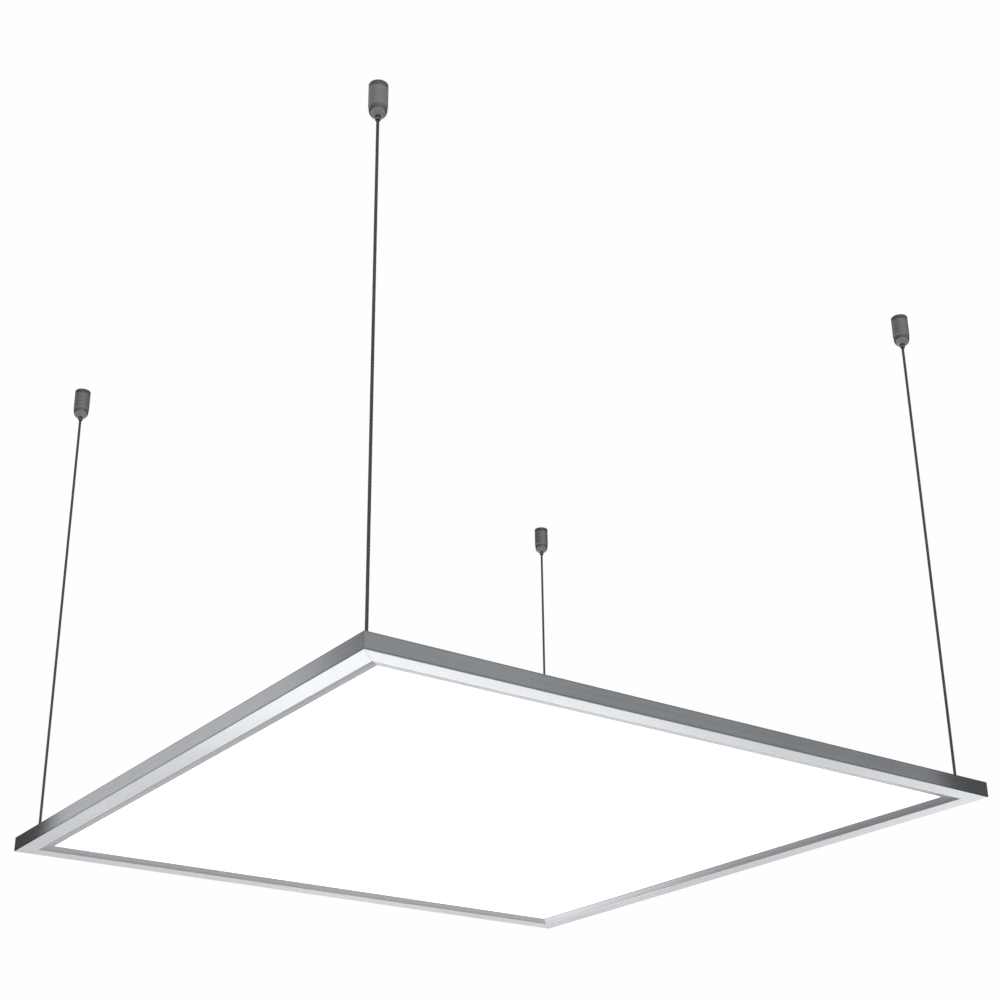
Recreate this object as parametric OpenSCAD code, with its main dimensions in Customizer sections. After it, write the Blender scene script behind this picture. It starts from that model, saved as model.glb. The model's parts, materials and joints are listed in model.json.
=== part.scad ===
// Square edge-lit LED panel hung from four steel wires.
// Origin: centre of the four ceiling fixings, on the ceiling plane. +Z is up, everything hangs below it.
// X runs from left to right and Y from front to rear.

/* [Panel] */
// Outer side of the square panel
panel_side = 595; // [560:1:605]
// Height of the frame profile
frame_h = 12.8; // [12.8:0.1:16]
// Width of the flat part of the frame's underside
flat_w = 15.5; // [15:0.5:18]
// Width of the whole border, from the outer face to the light's edge
border_w = 26; // [25.5:0.5:30]
// Wall thickness of the frame profile
frame_wall = 1.4; // [1.2:0.1:1.6]
// Gap left at each mitre
mitre_gap = 0.1; // [0.05:0.05:0.2]

/* [Suspension] */
// Distance from the ceiling to the frame's top
drop = 450; // [300:5:700]
// Distance from a side edge to its wires
wire_inset_x = 13.7; // [12:0.1:14]
// Distance from the front or rear edge to the wires
wire_inset_y = 20; // [18:0.5:30]
// Diameter of the steel wire rope
wire_d = 2.5; // [2:0.1:2.5]
// Diameter of the crimped stud at the wire's foot
stud_d = 5; // [4.5:0.1:5.4]
// Height of the crimped stud above the frame
stud_h = 8; // [6:0.5:12]

/* [Ceiling gripper] */
// Outer diameter of the gripper barrel
barrel_d = 15; // [14.5:0.1:18]
// Length of the barrel's straight part
barrel_straight = 22; // [21:0.5:26]
// Length of the barrel's rounded nose
nose_h = 7; // [6.5:0.5:9]
// How far the release nozzle stands out of the nose
nozzle_out = 3; // [2.5:0.1:4]
// Outer diameter of the release nozzle
nozzle_d = 4.5; // [4.4:0.1:4.6]
// Depth of the threaded socket for the ceiling nipple
socket_depth = 8; // [6:0.5:9]

/* [Light engine] */
// Thickness of the light guide
guide_t = 3; // [2:0.5:3]
// Thickness of the diffuser
diffuser_t = 1.5; // [1:0.1:1.5]
// Number of light emitters on each board
leds_per_board = 54; // [20:1:60]

/* [Driver] */
// Length of the driver housing
driver_l = 160; // [150:1:200]
// Width of the driver housing
driver_w = 52; // [50:1:60]
// Height of the driver housing under its lid
driver_h = 25.8; // [25:0.1:30]

/* [Hidden] */
$fn = 48;
half = panel_side / 2;
frame_z0 = -drop - frame_h;
fix_x = half - wire_inset_x;
fix_y = half - wire_inset_y;

// corners of the suspension, as signs along X and Y
FRONT_LEFT = [-1, -1];
FRONT_RIGHT = [1, -1];
REAR_LEFT = [-1, 1];
REAR_RIGHT = [1, 1];
CORNERS = [FRONT_LEFT, FRONT_RIGHT, REAR_LEFT, REAR_RIGHT];

// heights in the panel, above the frame's underside
lip_rise = 2.2;
lip_top = 3.2;
ledge_low = 10.4;
ledge_top = 11.6;
plate_top = 12.6;
edge_chamfer = 0.5;
guide_low = lip_top + diffuser_t;
guide_top = guide_low + guide_t;
sheet_t = 0.3;

// distances inward from the frame's outer face
chamber_in = flat_w + 1.1;
rebate_in = 18;
plate_in = 19.2;
flange_in = 18.8;
ledge_in = 24;
diffuser_in = 18.4;
guide_in = 20.2;
pad_in = 24.5;

// ceiling gripper: heights are below the ceiling
nose_low = barrel_straight + nose_h;
nozzle_low = nose_low + nozzle_out;
socket_r = 4.46;
chamber_r = 4.2;
chamber_low = barrel_straight - 1;
guide_r = nozzle_d / 2 + 0.15;
taper_h = 7;
seat_h = 2;
ball_r = 1;
ball_gap = 0.3;
wire_r = wire_d / 2;
ball_ring = wire_r + ball_gap + ball_r;
ball_z = chamber_low + 2;
cage_r = 2.8;
bore_r = wire_r + 0.3;
flange_low = chamber_low + 0.8;
spring_r = 3.2;
spring_wire_r = 0.3;
spring_turns = 5;
spring_sides = 6;
spring_steps = 14;

// corner joint
key_clear = 0.3;
key_leg = 42;
screw_in = 9;
screw_along = 32;
thread_r = 1.95;
thread_depth = 8;

// back plate and its lead
back_z = frame_z0 + plate_top;
lead_r = 2;
lead_exit_x = half - 31.5;
splice_top = frame_z0 + 11;
LEAD_ROUTE = [[266, -451.8], [266, -449], [266, -446], [265, -442], [262, -439], [258, -438],
    [252, -438.5], [245, -440.5], [238, -443], [230, -445.5], [222, -446.8], [212, -447.2], [202, -447.2],
    [192, -447.2], [182, -447.2], [172, -447.2], [162, -447.2], [152, -447.2], [142, -447.2],
    [132, -446.6], [122, -445], [112, -442.4], [104, -440.6], [96, -439.7], [88, -439.7], [79, -439.7],
    [71, -439.7]];
CLIP_XS = [200, 150];
clip_l = 9;
clip_w = 14;
clip_h = 6.4;

// driver housing
driver_x = driver_l / 2;
driver_y = driver_w / 2;
driver_wall = 2;
hinge_x = 38 - driver_x;
hinge_z = back_z + driver_h + 1.2;
knuckle_r = 2.2;
pin_r = 1;
cord_r = 4.25;
cord_z = back_z + 17;
lead_in_z = back_z + 10.5;
board_z = back_z + 6;
board_t = 1.6;
parts_z = board_z + board_t;
ear_l = 12;
ear_x = driver_x + 6;
clamp_x = 9 - driver_x;
clamp_z = back_z + 21.5;

// ---- ceiling grippers ----

module at_fixing(corner) {
    translate([corner[0] * fix_x, corner[1] * fix_y, 0]) children();
}

// half outline of the barrel, from the ceiling down to its rounded nose
function nose_arc() = [for (i = [0 : 8])
    let (a = i * 9.5) [barrel_d / 2 - (barrel_d / 2 - 3) * (1 - cos(a)) / (1 - cos(76)),
        -barrel_straight - nose_h * sin(a) / sin(76)]];

module gripper_barrel(corner) {
    color("dimgray")
    at_fixing(corner)
    difference() {
        rotate_extrude($fn = 64)
        polygon(concat([[0, 0], [barrel_d / 2 - 0.4, 0], [barrel_d / 2, -0.4]], nose_arc(), [[0, -nose_low]]));
        translate([0, 0, -socket_depth]) cylinder(r = socket_r, h = socket_depth + 1);
        translate([0, 0, -chamber_low]) cylinder(r = chamber_r, h = chamber_low);
        translate([0, 0, -chamber_low - taper_h]) cylinder(r1 = guide_r, r2 = chamber_r, h = taper_h);
        translate([0, 0, -nose_low - 1]) cylinder(r = guide_r, h = nose_h);
    }
}

module spring_seat(corner) {
    color("darkgray")
    at_fixing(corner)
    translate([0, 0, -socket_depth - seat_h])
    difference() {
        cylinder(r = chamber_r - 0.04, h = seat_h);
        translate([0, 0, -1]) cylinder(r = bore_r, h = seat_h + 2);
    }
}

// one closed helix of round wire, swept from ring to ring
module helix(radius, wire, height, turns, steps, sides) {
    rings = turns * steps;
    points = [for (i = [0 : rings], j = [0 : sides - 1])
        let (a = 360 * i / steps, b = 360 * j / sides, r = radius + wire * cos(b))
        [r * cos(a), r * sin(a), wire + (height - 2 * wire) * i / rings + wire * sin(b)]];
    walls = [for (i = [0 : rings - 1], j = [0 : sides - 1])
        let (k = (j + 1) % sides)
        [i * sides + j, i * sides + k, (i + 1) * sides + k, (i + 1) * sides + j]];
    first = [[for (j = [0 : sides - 1]) sides - 1 - j]];
    last = [[for (j = [0 : sides - 1]) rings * sides + j]];
    polyhedron(concat(points), concat(walls, first, last), convexity = 10);
}

module clutch_spring(corner) {
    spring_h = flange_low - 1 - socket_depth - seat_h;
    color("silver")
    at_fixing(corner)
    translate([0, 0, -socket_depth - seat_h - spring_h])
    mirror([0, 1, 0])
    helix(spring_r, spring_wire_r, spring_h, spring_turns, spring_steps, spring_sides);
}

module clutch_balls(corner) {
    color("gainsboro")
    at_fixing(corner)
    for (a = [0, 120, 240])
        rotate([0, 0, a]) translate([ball_ring, 0, -ball_z]) sphere(r = ball_r);
}

// push-up sleeve that carries the clutch balls
module release_nozzle(corner) {
    color("gray")
    at_fixing(corner)
    difference() {
        union() {
            translate([0, 0, -nozzle_low + 0.4]) cylinder(r = nozzle_d / 2, h = nozzle_low - flange_low);
            translate([0, 0, -nozzle_low]) cylinder(r1 = nozzle_d / 2 - 0.4, r2 = nozzle_d / 2, h = 0.4);
            translate([0, 0, -chamber_low - 4.5]) cylinder(r = cage_r, h = 4);
            translate([0, 0, -flange_low]) cylinder(r = cage_r + 0.9, h = 1);
        }
        translate([0, 0, -nozzle_low - 1]) cylinder(r = bore_r, h = nozzle_low);
        for (a = [0, 120, 240])
            rotate([0, 0, a])
            translate([0, 0, -ball_z])
            rotate([0, 90, 0])
            cylinder(r = ball_r + 0.1, h = barrel_d / 2);
    }
}

module suspension_wire(corner) {
    wire_low = drop - stud_h + 5;
    wire_high = socket_depth + 0.5;
    color("silver")
    at_fixing(corner)
    translate([0, 0, -wire_low])
    cylinder(r = wire_r, h = wire_low - wire_high);
}

// ---- frame ----

// section of the frame: x inward from the outer face, y up from the underside
module frame_section() {
    difference() {
        polygon([[0, edge_chamfer], [edge_chamfer, 0], [flat_w, 0], [border_w - 0.4, lip_rise],
            [border_w, lip_rise + 0.4], [border_w, lip_top], [rebate_in, lip_top], [rebate_in, ledge_low],
            [ledge_in, ledge_low], [ledge_in, ledge_top], [flange_in, ledge_top], [flange_in, frame_h],
            [edge_chamfer, frame_h], [0, frame_h - edge_chamfer]]);
        polygon([[frame_wall, frame_wall], [chamber_in, frame_wall], [chamber_in, frame_h - frame_wall],
            [frame_wall, frame_h - frame_wall]]);
    }
}

// one mitred side, drawn at the front and turned into place
module frame_side(turn, wire_holes) {
    color("silver")
    rotate([0, 0, turn])
    difference() {
        intersection() {
            translate([-half, -half, frame_z0])
            rotate([90, 0, 90])
            linear_extrude(panel_side) frame_section();
            translate([0, 0, frame_z0 - 1])
            linear_extrude(frame_h + 2)
            polygon([[-half + mitre_gap, -half], [half - mitre_gap, -half],
                [half - border_w - mitre_gap, -half + border_w], [-half + border_w + mitre_gap, -half + border_w]]);
        }
        for (side = [-1, 1]) {
            translate([side * (half - screw_along), screw_in - half, -drop - 2]) cylinder(r = 1.7, h = 4);
            if (wire_holes)
                translate([side * fix_y, -fix_x, -drop - 2]) cylinder(r = thread_r + 0.15, h = 4);
        }
        for (i = [-1 : 1])
            translate([i * 180, plate_in + 2.6 - half, frame_z0 + ledge_low - 1]) cylinder(r = 1.25, h = 3);
    }
}

module frame_front() {
    frame_side(0, false);
}

module frame_right() {
    frame_side(90, true);
}

module frame_rear() {
    frame_side(180, false);
}

module frame_left() {
    frame_side(270, true);
}

// puts a child drawn for the front left corner into a corner
module at_corner(corner) {
    mirror([corner[0] > 0 ? 1 : 0, 0, 0])
    mirror([0, corner[1] > 0 ? 1 : 0, 0])
    translate([-half, -half, 0])
    children();
}

module corner_key() {
    low = frame_wall + key_clear;
    high = chamber_in - key_clear;
    difference() {
        translate([0, 0, frame_z0 + low])
        linear_extrude(frame_h - 2 * low)
        polygon([[low, low], [key_leg, low], [key_leg, high], [high, high], [high, key_leg], [low, key_leg]]);
        translate([wire_inset_x, wire_inset_y, -drop - thread_depth - 1])
        cylinder(r = thread_r + 0.03, h = thread_depth + 2);
        for (at = [[screw_along, screw_in], [screw_in, screw_along]])
            translate([at[0], at[1], frame_z0 + 3]) cylinder(r = 1.25, h = frame_h);
    }
}

module corner_keys() {
    color("lightslategray")
    for (corner = CORNERS) at_corner(corner) corner_key();
}

// pan-head screw standing on z = 0, with its shank below
module pan_screw(head_r, head_h, shank_r, shank_l) {
    difference() {
        union() {
            translate([0, 0, -shank_l]) cylinder(r = shank_r, h = shank_l);
            cylinder(r = head_r, h = head_h * 0.6);
            translate([0, 0, head_h * 0.6]) cylinder(r1 = head_r, r2 = head_r * 0.7, h = head_h * 0.4);
        }
        for (a = [0, 90])
            rotate([0, 0, a])
            translate([-head_r * 0.5, -0.35, head_h * 0.45]) cube([head_r, 0.7, head_h]);
    }
}

module corner_screws() {
    color("gainsboro")
    for (corner = CORNERS, at = [[screw_along, screw_in], [screw_in, screw_along]])
        at_corner(corner) translate([at[0], at[1], -drop]) pan_screw(2.7, 1.6, 1.2, 7);
}

// crimped sleeves at the wires' feet, with a threaded end in the corner keys
module wire_foot_studs() {
    color("darkgray")
    for (corner = CORNERS)
        at_fixing(corner)
        difference() {
            union() {
                translate([0, 0, -drop - thread_depth]) cylinder(r = thread_r, h = thread_depth + 1);
                translate([0, 0, -drop]) cylinder(r = stud_d / 2, h = stud_h - 0.6);
                translate([0, 0, -drop + stud_h - 0.6])
                cylinder(r1 = stud_d / 2, r2 = stud_d / 2 - 0.5, h = 0.6);
            }
            translate([0, 0, -drop + stud_h - 5]) cylinder(r = wire_r + 0.02, h = 6);
        }
}

// ---- light engine ----

module square_sheet(inset, low, thickness) {
    side = panel_side - 2 * inset;
    translate([-side / 2, -side / 2, frame_z0 + low]) cube([side, side, thickness]);
}

module diffuser() {
    color("white") square_sheet(diffuser_in, lip_top, diffuser_t);
}

module light_guide() {
    color("azure") square_sheet(guide_in, guide_low, guide_t);
}

module reflector_sheet() {
    color("whitesmoke") square_sheet(guide_in, guide_top, sheet_t);
}

// foam that presses the sheets down, notched for the lead's splice
module foam_pad() {
    low = guide_top + sheet_t;
    color("lightgray")
    difference() {
        square_sheet(pad_in, low, ledge_top - low);
        translate([lead_exit_x - 7, -10, frame_z0 + low - 1]) cube([30, 20, 6]);
    }
}

module led_board() {
    color("ivory")
    translate([-270, rebate_in - half, frame_z0 + 4.8]) cube([540, 1, 5]);
}

module led_board_front() {
    led_board();
}

module led_board_rear() {
    rotate([0, 0, 180]) led_board();
}

module led_chips() {
    pitch = 530 / (leds_per_board - 1);
    color("khaki")
    for (turn = [0, 180], i = [0 : leds_per_board - 1])
        rotate([0, 0, turn])
        translate([-265 + i * pitch - 2, rebate_in + 1 - half, guide_low + guide_t / 2 - 1 + frame_z0])
        cube([4, 0.8, 2]);
}

module rod_between(a, b, r) {
    d = b - a;
    translate(a) rotate([0, d[0] != 0 ? 90 : 0, 0]) rotate([d[1] != 0 ? -90 : 0, 0, 0])
    cylinder(r = r, h = norm(d));
}

// insulated leads from the boards' right ends to the splice
module board_leads() {
    z = frame_z0 + 9;
    side_x = half - 22;
    board_y = half - 20;
    color("firebrick")
    for (m = [0, 1])
        mirror([0, m, 0]) {
            rod_between([266, -board_y, z], [side_x, -board_y, z], 0.8);
            translate([side_x, -board_y, z]) sphere(r = 0.8);
            rod_between([side_x, -board_y, z], [side_x, -3, z], 0.8);
            translate([side_x, -3, z]) sphere(r = 0.8);
            rod_between([lead_exit_x + 5, -3, z], [side_x, -3, z], 0.8);
        }
}

module lead_splice() {
    low = guide_top + sheet_t + 0.1;
    color("white")
    translate([lead_exit_x - 5, -6, frame_z0 + low]) cube([10, 12, splice_top - frame_z0 - low]);
}

module back_plate() {
    side = panel_side - 2 * plate_in;
    bead_r = 6;
    bead_rise = 1.2;
    color("white")
    difference() {
        union() {
            square_sheet(plate_in, ledge_top, plate_top - ledge_top);
            intersection() {
                translate([-half, -half, back_z - 0.5]) cube([panel_side, panel_side, 4]);
                for (x = [-180, -120, 120, 180], y = [-1, 1]) {
                    translate([x, y * 170, back_z + bead_rise - bead_r])
                    rotate([90, 0, 0])
                    cylinder(r = bead_r, h = 140, center = true);
                    for (end = [-70, 70])
                        translate([x, y * 170 + end, back_z + bead_rise - bead_r]) sphere(r = bead_r);
                }
            }
        }
        translate([lead_exit_x, 0, back_z - 3]) cylinder(r = 4, h = 6);
        for (turn = [0 : 90 : 270], i = [-1 : 1])
            rotate([0, 0, turn])
            translate([i * 180, plate_in + 2.6 - half, back_z - 3])
            cylinder(r = 1.5, h = 6);
        for (x = [-ear_x, ear_x]) translate([x, 0, back_z - 3]) cylinder(r = 1.5, h = 6);
    }
}

module back_plate_screws() {
    color("gainsboro")
    for (turn = [0 : 90 : 270], i = [-1 : 1])
        rotate([0, 0, turn])
        translate([i * 180, plate_in + 2.6 - half, back_z])
        pan_screw(2.3, 1.4, 1.2, 2.2);
}

// ---- lead on the back plate ----

module lead_grommet() {
    color("dimgray")
    translate([lead_exit_x, 0, back_z - 1])
    difference() {
        union() {
            cylinder(r = 3.95, h = 1.05);
            translate([0, 0, 1]) cylinder(r = 5.6, h = 0.8);
            translate([0, 0, 1.8]) cylinder(r1 = 5.6, r2 = 4.4, h = 0.8);
        }
        translate([0, 0, -1]) cylinder(r = lead_r + 0.05, h = 5);
    }
}

// round tube along a route in the XZ plane
module planar_tube(route, r, sides) {
    last = len(route) - 1;
    points = [for (i = [0 : last], j = [0 : sides - 1])
        let (t = route[min(i + 1, last)] - route[max(i - 1, 0)], n = [-t[1], t[0]] / norm(t), b = 360 * j / sides)
        [route[i][0] + r * cos(b) * n[0], r * sin(b), route[i][1] + r * cos(b) * n[1]]];
    walls = [for (i = [0 : last - 1], j = [0 : sides - 1])
        let (k = (j + 1) % sides)
        [i * sides + j, (i + 1) * sides + j, (i + 1) * sides + k, i * sides + k]];
    first = [[for (j = [0 : sides - 1]) j]];
    end = [[for (j = [0 : sides - 1]) last * sides + sides - 1 - j]];
    polyhedron(points, concat(walls, first, end), convexity = 10);
}

module dc_lead() {
    color("gray") planar_tube(LEAD_ROUTE, lead_r, 12);
}

module lead_clips() {
    color("whitesmoke")
    for (x = CLIP_XS)
        difference() {
            union() {
                translate([x - clip_l / 2, -clip_w / 2, back_z]) cube([clip_l, clip_w, 1.6]);
                translate([x - clip_l / 2, -3.6, back_z]) cube([clip_l, 7.2, clip_h - 3.4]);
                translate([x, 0, back_z + 3])
                rotate([0, 90, 0])
                cylinder(r = 3.6, h = clip_l, center = true);
            }
            translate([x, 0, back_z + 3]) rotate([0, 90, 0]) cylinder(r = lead_r + 0.1, h = 20, center = true);
            translate([x - clip_l, -clip_w, back_z - 5]) cube([2 * clip_l, 2 * clip_w, 5]);
        }
}

// ---- driver ----

module driver_base() {
    inner_x = driver_x - driver_wall;
    inner_y = driver_y - driver_wall;
    color("whitesmoke")
    difference() {
        union() {
            translate([-driver_x, -driver_y, back_z]) cube([driver_l, driver_w, driver_h]);
            translate([-driver_x - ear_l, -10, back_z]) cube([driver_l + 2 * ear_l, 20, 2.5]);
        }
        translate([-inner_x, -inner_y, back_z + driver_wall]) cube([hinge_x - 2 + inner_x, 2 * inner_y, 40]);
        translate([hinge_x, -inner_y, back_z + driver_wall]) cube([inner_x - hinge_x, 2 * inner_y, 40]);
        translate([hinge_x - 3, -inner_y, back_z + 20]) cube([4, 2 * inner_y, 10]);
        translate([-driver_x - 1, 0, cord_z]) rotate([0, 90, 0]) cylinder(r = cord_r, h = 4);
        translate([driver_x - 3, 0, lead_in_z]) rotate([0, 90, 0]) cylinder(r = lead_r + 0.1, h = 4);
        translate([-driver_x - 1, -8, back_z + driver_h - 2.2]) cube([driver_wall + 2, 16, 5]);
        for (x = [-ear_x, ear_x]) translate([x, 0, back_z - 1]) cylinder(r = 2, h = 5);
    }
    // pillars of the circuit board
    color("whitesmoke")
    for (x = [hinge_x + 6, inner_x - 6], y = [-18, 18])
        translate([x, y, back_z + driver_wall - 0.5]) cylinder(r = 2.5, h = board_z - back_z - driver_wall + 0.5);
    // posts of the cord clamp
    color("whitesmoke")
    for (y = [-11, 11])
        translate([clamp_x, y, back_z + driver_wall - 0.5])
        difference() {
            cylinder(r = 3, h = clamp_z - back_z - driver_wall + 0.5);
            translate([0, 0, 8]) cylinder(r = 1.25, h = 20);
        }
}

module driver_board() {
    color("seagreen")
    translate([hinge_x + 2, -23, board_z]) cube([driver_x - 4 - hinge_x - 2, 46, board_t]);
}

module driver_transformer() {
    color("goldenrod")
    translate([14, 0, parts_z]) {
        translate([-11, -10, 0]) cube([22, 20, 3]);
        translate([-11, -10, 12]) cube([22, 20, 3]);
        translate([-11, -10, 0]) cube([3.5, 20, 15]);
        translate([7.5, -10, 0]) cube([3.5, 20, 15]);
        translate([0, 0, 2.5]) cylinder(r = 6.8, h = 10);
    }
}

module driver_capacitors() {
    color("steelblue") {
        translate([-12, 10, parts_z]) cylinder(r = 6.5, h = 15.5);
        translate([-12, -12, parts_z]) cylinder(r = 5, h = 14);
        for (y = [-12, 2]) translate([62, y, parts_z]) cylinder(r = 5, h = 14);
        translate([-35, -16, parts_z]) cube([6, 14, 12]);
    }
}

module driver_heatsink() {
    color("silver")
    translate([34, -20, parts_z]) {
        cube([2, 40, 15]);
        for (y = [0 : 8 : 36]) translate([1, y, 0]) cube([8, 1.5, 15]);
    }
}

module terminal_block() {
    color("ivory")
    translate([-driver_x + 16, -15, back_z + driver_wall])
    difference() {
        cube([16, 30, 9]);
        for (y = [5, 15, 25]) {
            translate([8, y, 3]) cylinder(r = 2, h = 10);
            translate([-1, y, 3.5]) rotate([0, 90, 0]) cylinder(r = 1.6, h = 6);
        }
    }
}

module terminal_screws() {
    color("goldenrod")
    for (y = [-10, 0, 10])
        translate([24 - driver_x, y, back_z + driver_wall + 3])
        difference() {
            cylinder(r = 1.9, h = 4.5);
            translate([-2, -0.3, 3.6]) cube([4, 0.6, 2]);
        }
}

module cord_clamp() {
    color("lightgray")
    translate([clamp_x - 3, -14, clamp_z])
    difference() {
        cube([6, 28, 1.8]);
        for (y = [3, 25]) translate([3, y, -1]) cylinder(r = 1.5, h = 4);
    }
}

// screws that hold the driver to the back plate, and the two of the cord clamp
module driver_screws() {
    color("gainsboro") {
        for (x = [-ear_x, ear_x]) translate([x, 0, back_z + 2.5]) pan_screw(3.4, 2, 1.4, 3.4);
        for (y = [-11, 11]) translate([clamp_x, y, clamp_z + 1.8]) pan_screw(2.2, 1.4, 1.15, 7);
    }
}

// hinge knuckle along Y, from one Y to another
module knuckle(low, high) {
    translate([hinge_x, low, hinge_z]) rotate([-90, 0, 0]) cylinder(r = knuckle_r, h = high - low);
}

module driver_cover() {
    z = back_z + driver_h;
    color("whitesmoke")
    difference() {
        union() {
            translate([hinge_x + 2.6, -driver_y, z]) cube([driver_x - hinge_x - 2.6, driver_w, 2.2]);
            translate([hinge_x + 4, -driver_y + driver_wall + 0.2, z - 2])
            cube([driver_x - hinge_x - 4 - driver_wall - 0.2, 1.4, 3]);
            translate([hinge_x + 4, driver_y - driver_wall - 1.6, z - 2])
            cube([driver_x - hinge_x - 4 - driver_wall - 0.2, 1.4, 3]);
            for (y = [-20, 10]) {
                translate([hinge_x, y, z + 0.2]) cube([4, 10, 2]);
                knuckle(y, y + 10);
            }
        }
        translate([hinge_x, -30, hinge_z]) rotate([-90, 0, 0]) cylinder(r = pin_r + 0.02, h = 60);
        for (i = [0 : 7])
            translate([20 + i * 6, -14, z - 1]) cube([2.4, 28, 5]);
    }
}

module cover_hinge_pin() {
    color("silver")
    translate([hinge_x, -20, hinge_z]) rotate([-90, 0, 0]) cylinder(r = pin_r, h = 40);
}

// lid over the terminals, swinging on the hinge pin
module terminal_cover() {
    z = back_z + driver_h + 0.2;
    plate_l = hinge_x - 2.6 + driver_x;
    color("gainsboro")
    difference() {
        union() {
            translate([-driver_x, -driver_y, z]) cube([plate_l, driver_w, 2]);
            translate([-driver_x + 2.8, -6, z - 4]) cube([1.4, 12, 5]);
            translate([hinge_x - 4, -9.6, z]) cube([4, 19.2, 2]);
            knuckle(-9.6, 9.6);
        }
        translate([hinge_x, -30, hinge_z]) rotate([-90, 0, 0]) cylinder(r = pin_r + 0.05, h = 60);
    }
}

gripper_barrel(FRONT_LEFT);  // gripper_barrel_front_left
gripper_barrel(FRONT_RIGHT);  // gripper_barrel_front_right
gripper_barrel(REAR_LEFT);  // gripper_barrel_rear_left
gripper_barrel(REAR_RIGHT);  // gripper_barrel_rear_right
spring_seat(FRONT_LEFT);  // spring_seat_front_left
spring_seat(FRONT_RIGHT);  // spring_seat_front_right
spring_seat(REAR_LEFT);  // spring_seat_rear_left
spring_seat(REAR_RIGHT);  // spring_seat_rear_right
clutch_spring(FRONT_LEFT);  // clutch_spring_front_left
clutch_spring(FRONT_RIGHT);  // clutch_spring_front_right
clutch_spring(REAR_LEFT);  // clutch_spring_rear_left
clutch_spring(REAR_RIGHT);  // clutch_spring_rear_right
clutch_balls(FRONT_LEFT);  // clutch_balls_front_left
clutch_balls(FRONT_RIGHT);  // clutch_balls_front_right
clutch_balls(REAR_LEFT);  // clutch_balls_rear_left
clutch_balls(REAR_RIGHT);  // clutch_balls_rear_right
release_nozzle(FRONT_LEFT);  // release_nozzle_front_left
release_nozzle(FRONT_RIGHT);  // release_nozzle_front_right
release_nozzle(REAR_LEFT);  // release_nozzle_rear_left
release_nozzle(REAR_RIGHT);  // release_nozzle_rear_right
suspension_wire(FRONT_LEFT);  // suspension_wire_front_left
suspension_wire(FRONT_RIGHT);  // suspension_wire_front_right
suspension_wire(REAR_LEFT);  // suspension_wire_rear_left
suspension_wire(REAR_RIGHT);  // suspension_wire_rear_right
wire_foot_studs();
frame_front();
frame_right();
frame_rear();
frame_left();
corner_keys();
corner_screws();
back_plate();
back_plate_screws();
foam_pad();
reflector_sheet();
light_guide();
diffuser();
led_board_front();
led_board_rear();
led_chips();
board_leads();
lead_splice();
lead_grommet();
dc_lead();
lead_clips();
driver_base();
driver_board();
driver_transformer();
driver_capacitors();
driver_heatsink();
terminal_block();
terminal_screws();
cord_clamp();
driver_screws();
driver_cover();
cover_hinge_pin();
terminal_cover();
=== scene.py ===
"""Looks of a square hanging light panel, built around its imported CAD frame.

Blender works in metres. Profiles and sections are in millimetres, like the CAD source, and new_piece
turns them into metres. Heights are measured from the ceiling face, z = 0.
"""

import json
import math

import bmesh
import bpy
from mathutils import Matrix, Vector, geometry


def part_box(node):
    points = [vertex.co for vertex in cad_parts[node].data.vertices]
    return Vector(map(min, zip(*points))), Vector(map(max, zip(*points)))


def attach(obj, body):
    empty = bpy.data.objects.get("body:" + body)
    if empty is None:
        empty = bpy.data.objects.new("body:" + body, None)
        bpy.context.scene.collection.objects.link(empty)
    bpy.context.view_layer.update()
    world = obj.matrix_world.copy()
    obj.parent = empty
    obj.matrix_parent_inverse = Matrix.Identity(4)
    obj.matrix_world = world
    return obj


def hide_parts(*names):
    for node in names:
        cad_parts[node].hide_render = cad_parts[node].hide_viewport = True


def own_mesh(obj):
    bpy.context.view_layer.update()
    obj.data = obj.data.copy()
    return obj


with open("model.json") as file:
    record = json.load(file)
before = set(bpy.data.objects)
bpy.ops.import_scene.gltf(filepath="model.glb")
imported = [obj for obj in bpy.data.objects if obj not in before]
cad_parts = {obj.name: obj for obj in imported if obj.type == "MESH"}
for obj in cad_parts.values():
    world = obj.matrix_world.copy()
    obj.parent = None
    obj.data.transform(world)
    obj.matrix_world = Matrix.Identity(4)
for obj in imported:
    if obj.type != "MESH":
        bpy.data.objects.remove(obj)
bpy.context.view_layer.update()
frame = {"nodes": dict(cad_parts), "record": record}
nodes = frame["nodes"]
record = frame["record"]
MM = 0.001
CORNERS = ("front_left", "front_right", "rear_left", "rear_right")
SLOT_OF = {part["node"]: part["material_slot"] for part in record["subparts"]}


# ---- camera ----

CAMERA_PLACE = (-0.81180, -1.15736, -0.85402)
CAMERA_YAW = 0.9457
CAMERA_PITCH = 0.4129
CAMERA_ROLL = -0.0119
CAMERA_LENS = 61.36
CAMERA_SENSOR = 36
CAMERA_SHIFT_Y = 0.08


def make_camera():
    """The photo's camera, its angles in radians, and its lens and sensor in millimetres."""
    ahead = Vector((math.cos(CAMERA_YAW) * math.cos(CAMERA_PITCH),
                    math.sin(CAMERA_YAW) * math.cos(CAMERA_PITCH), math.sin(CAMERA_PITCH)))
    right = ahead.cross(Vector((0, 0, 1))).normalized()
    up = right.cross(ahead)
    tilted_right = math.cos(CAMERA_ROLL) * right + math.sin(CAMERA_ROLL) * up
    tilted_up = math.cos(CAMERA_ROLL) * up - math.sin(CAMERA_ROLL) * right
    data = bpy.data.cameras.new("camera")
    data.sensor_width = CAMERA_SENSOR
    data.lens = CAMERA_LENS
    data.shift_y = CAMERA_SHIFT_Y
    camera = bpy.data.objects.new("camera", data)
    bpy.context.scene.collection.objects.link(camera)
    axes = Matrix((tilted_right, tilted_up, -ahead)).transposed()
    camera.matrix_world = Matrix.Translation(CAMERA_PLACE) @ axes.to_4x4()
    bpy.context.scene.camera = camera


make_camera()


# ---- material helpers ----
# A noise value lies mostly between 0.3 and 0.7, so the materials spread about that range.

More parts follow.
